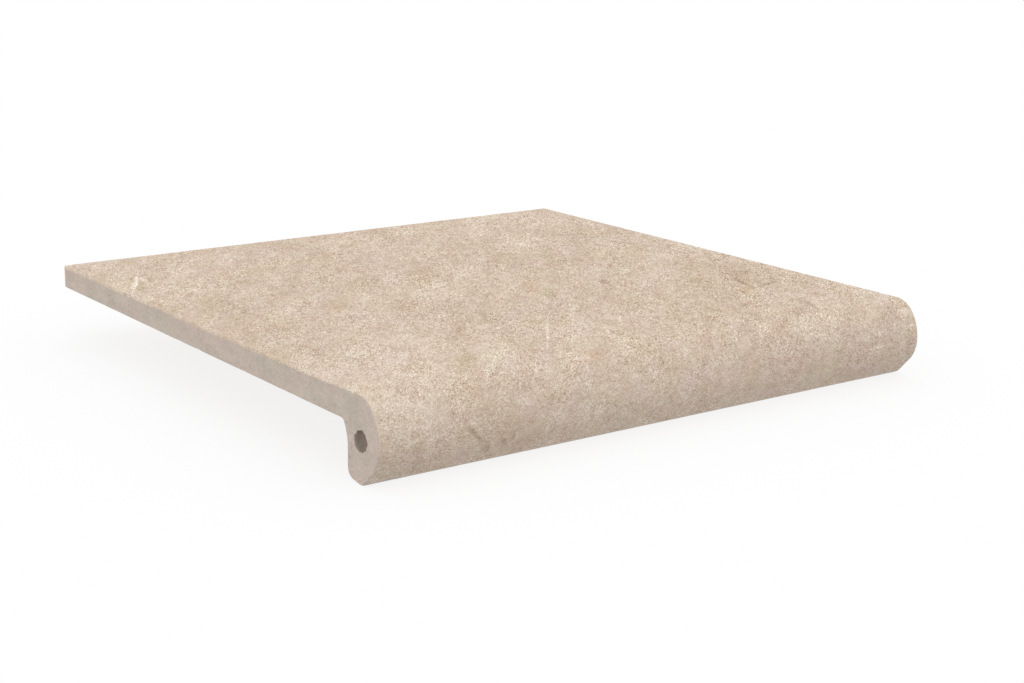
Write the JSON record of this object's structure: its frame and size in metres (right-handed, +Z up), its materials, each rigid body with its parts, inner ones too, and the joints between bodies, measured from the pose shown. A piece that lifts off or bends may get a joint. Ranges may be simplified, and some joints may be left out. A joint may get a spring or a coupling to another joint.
{
  "type": "stair tread tile",
  "caption": "Square stoneware stair tread tile with a flat sandstone-look slab and a rounded, bevelled, cored nosing along its front edge.",
  "frame": {"origin": "under the middle of the tile, level with the foot of the nosing", "axes": "+X along the nosing, +Y from the nosing to the back edge, +Z up out of the walked face"},
  "size_m": [0.33, 0.317, 0.04],
  "materials": {
    "fired_stoneware": "matte"
  },
  "bodies": {
    "root": {"tread_tile": "fired_stoneware"}
  },
  "joints": []
}
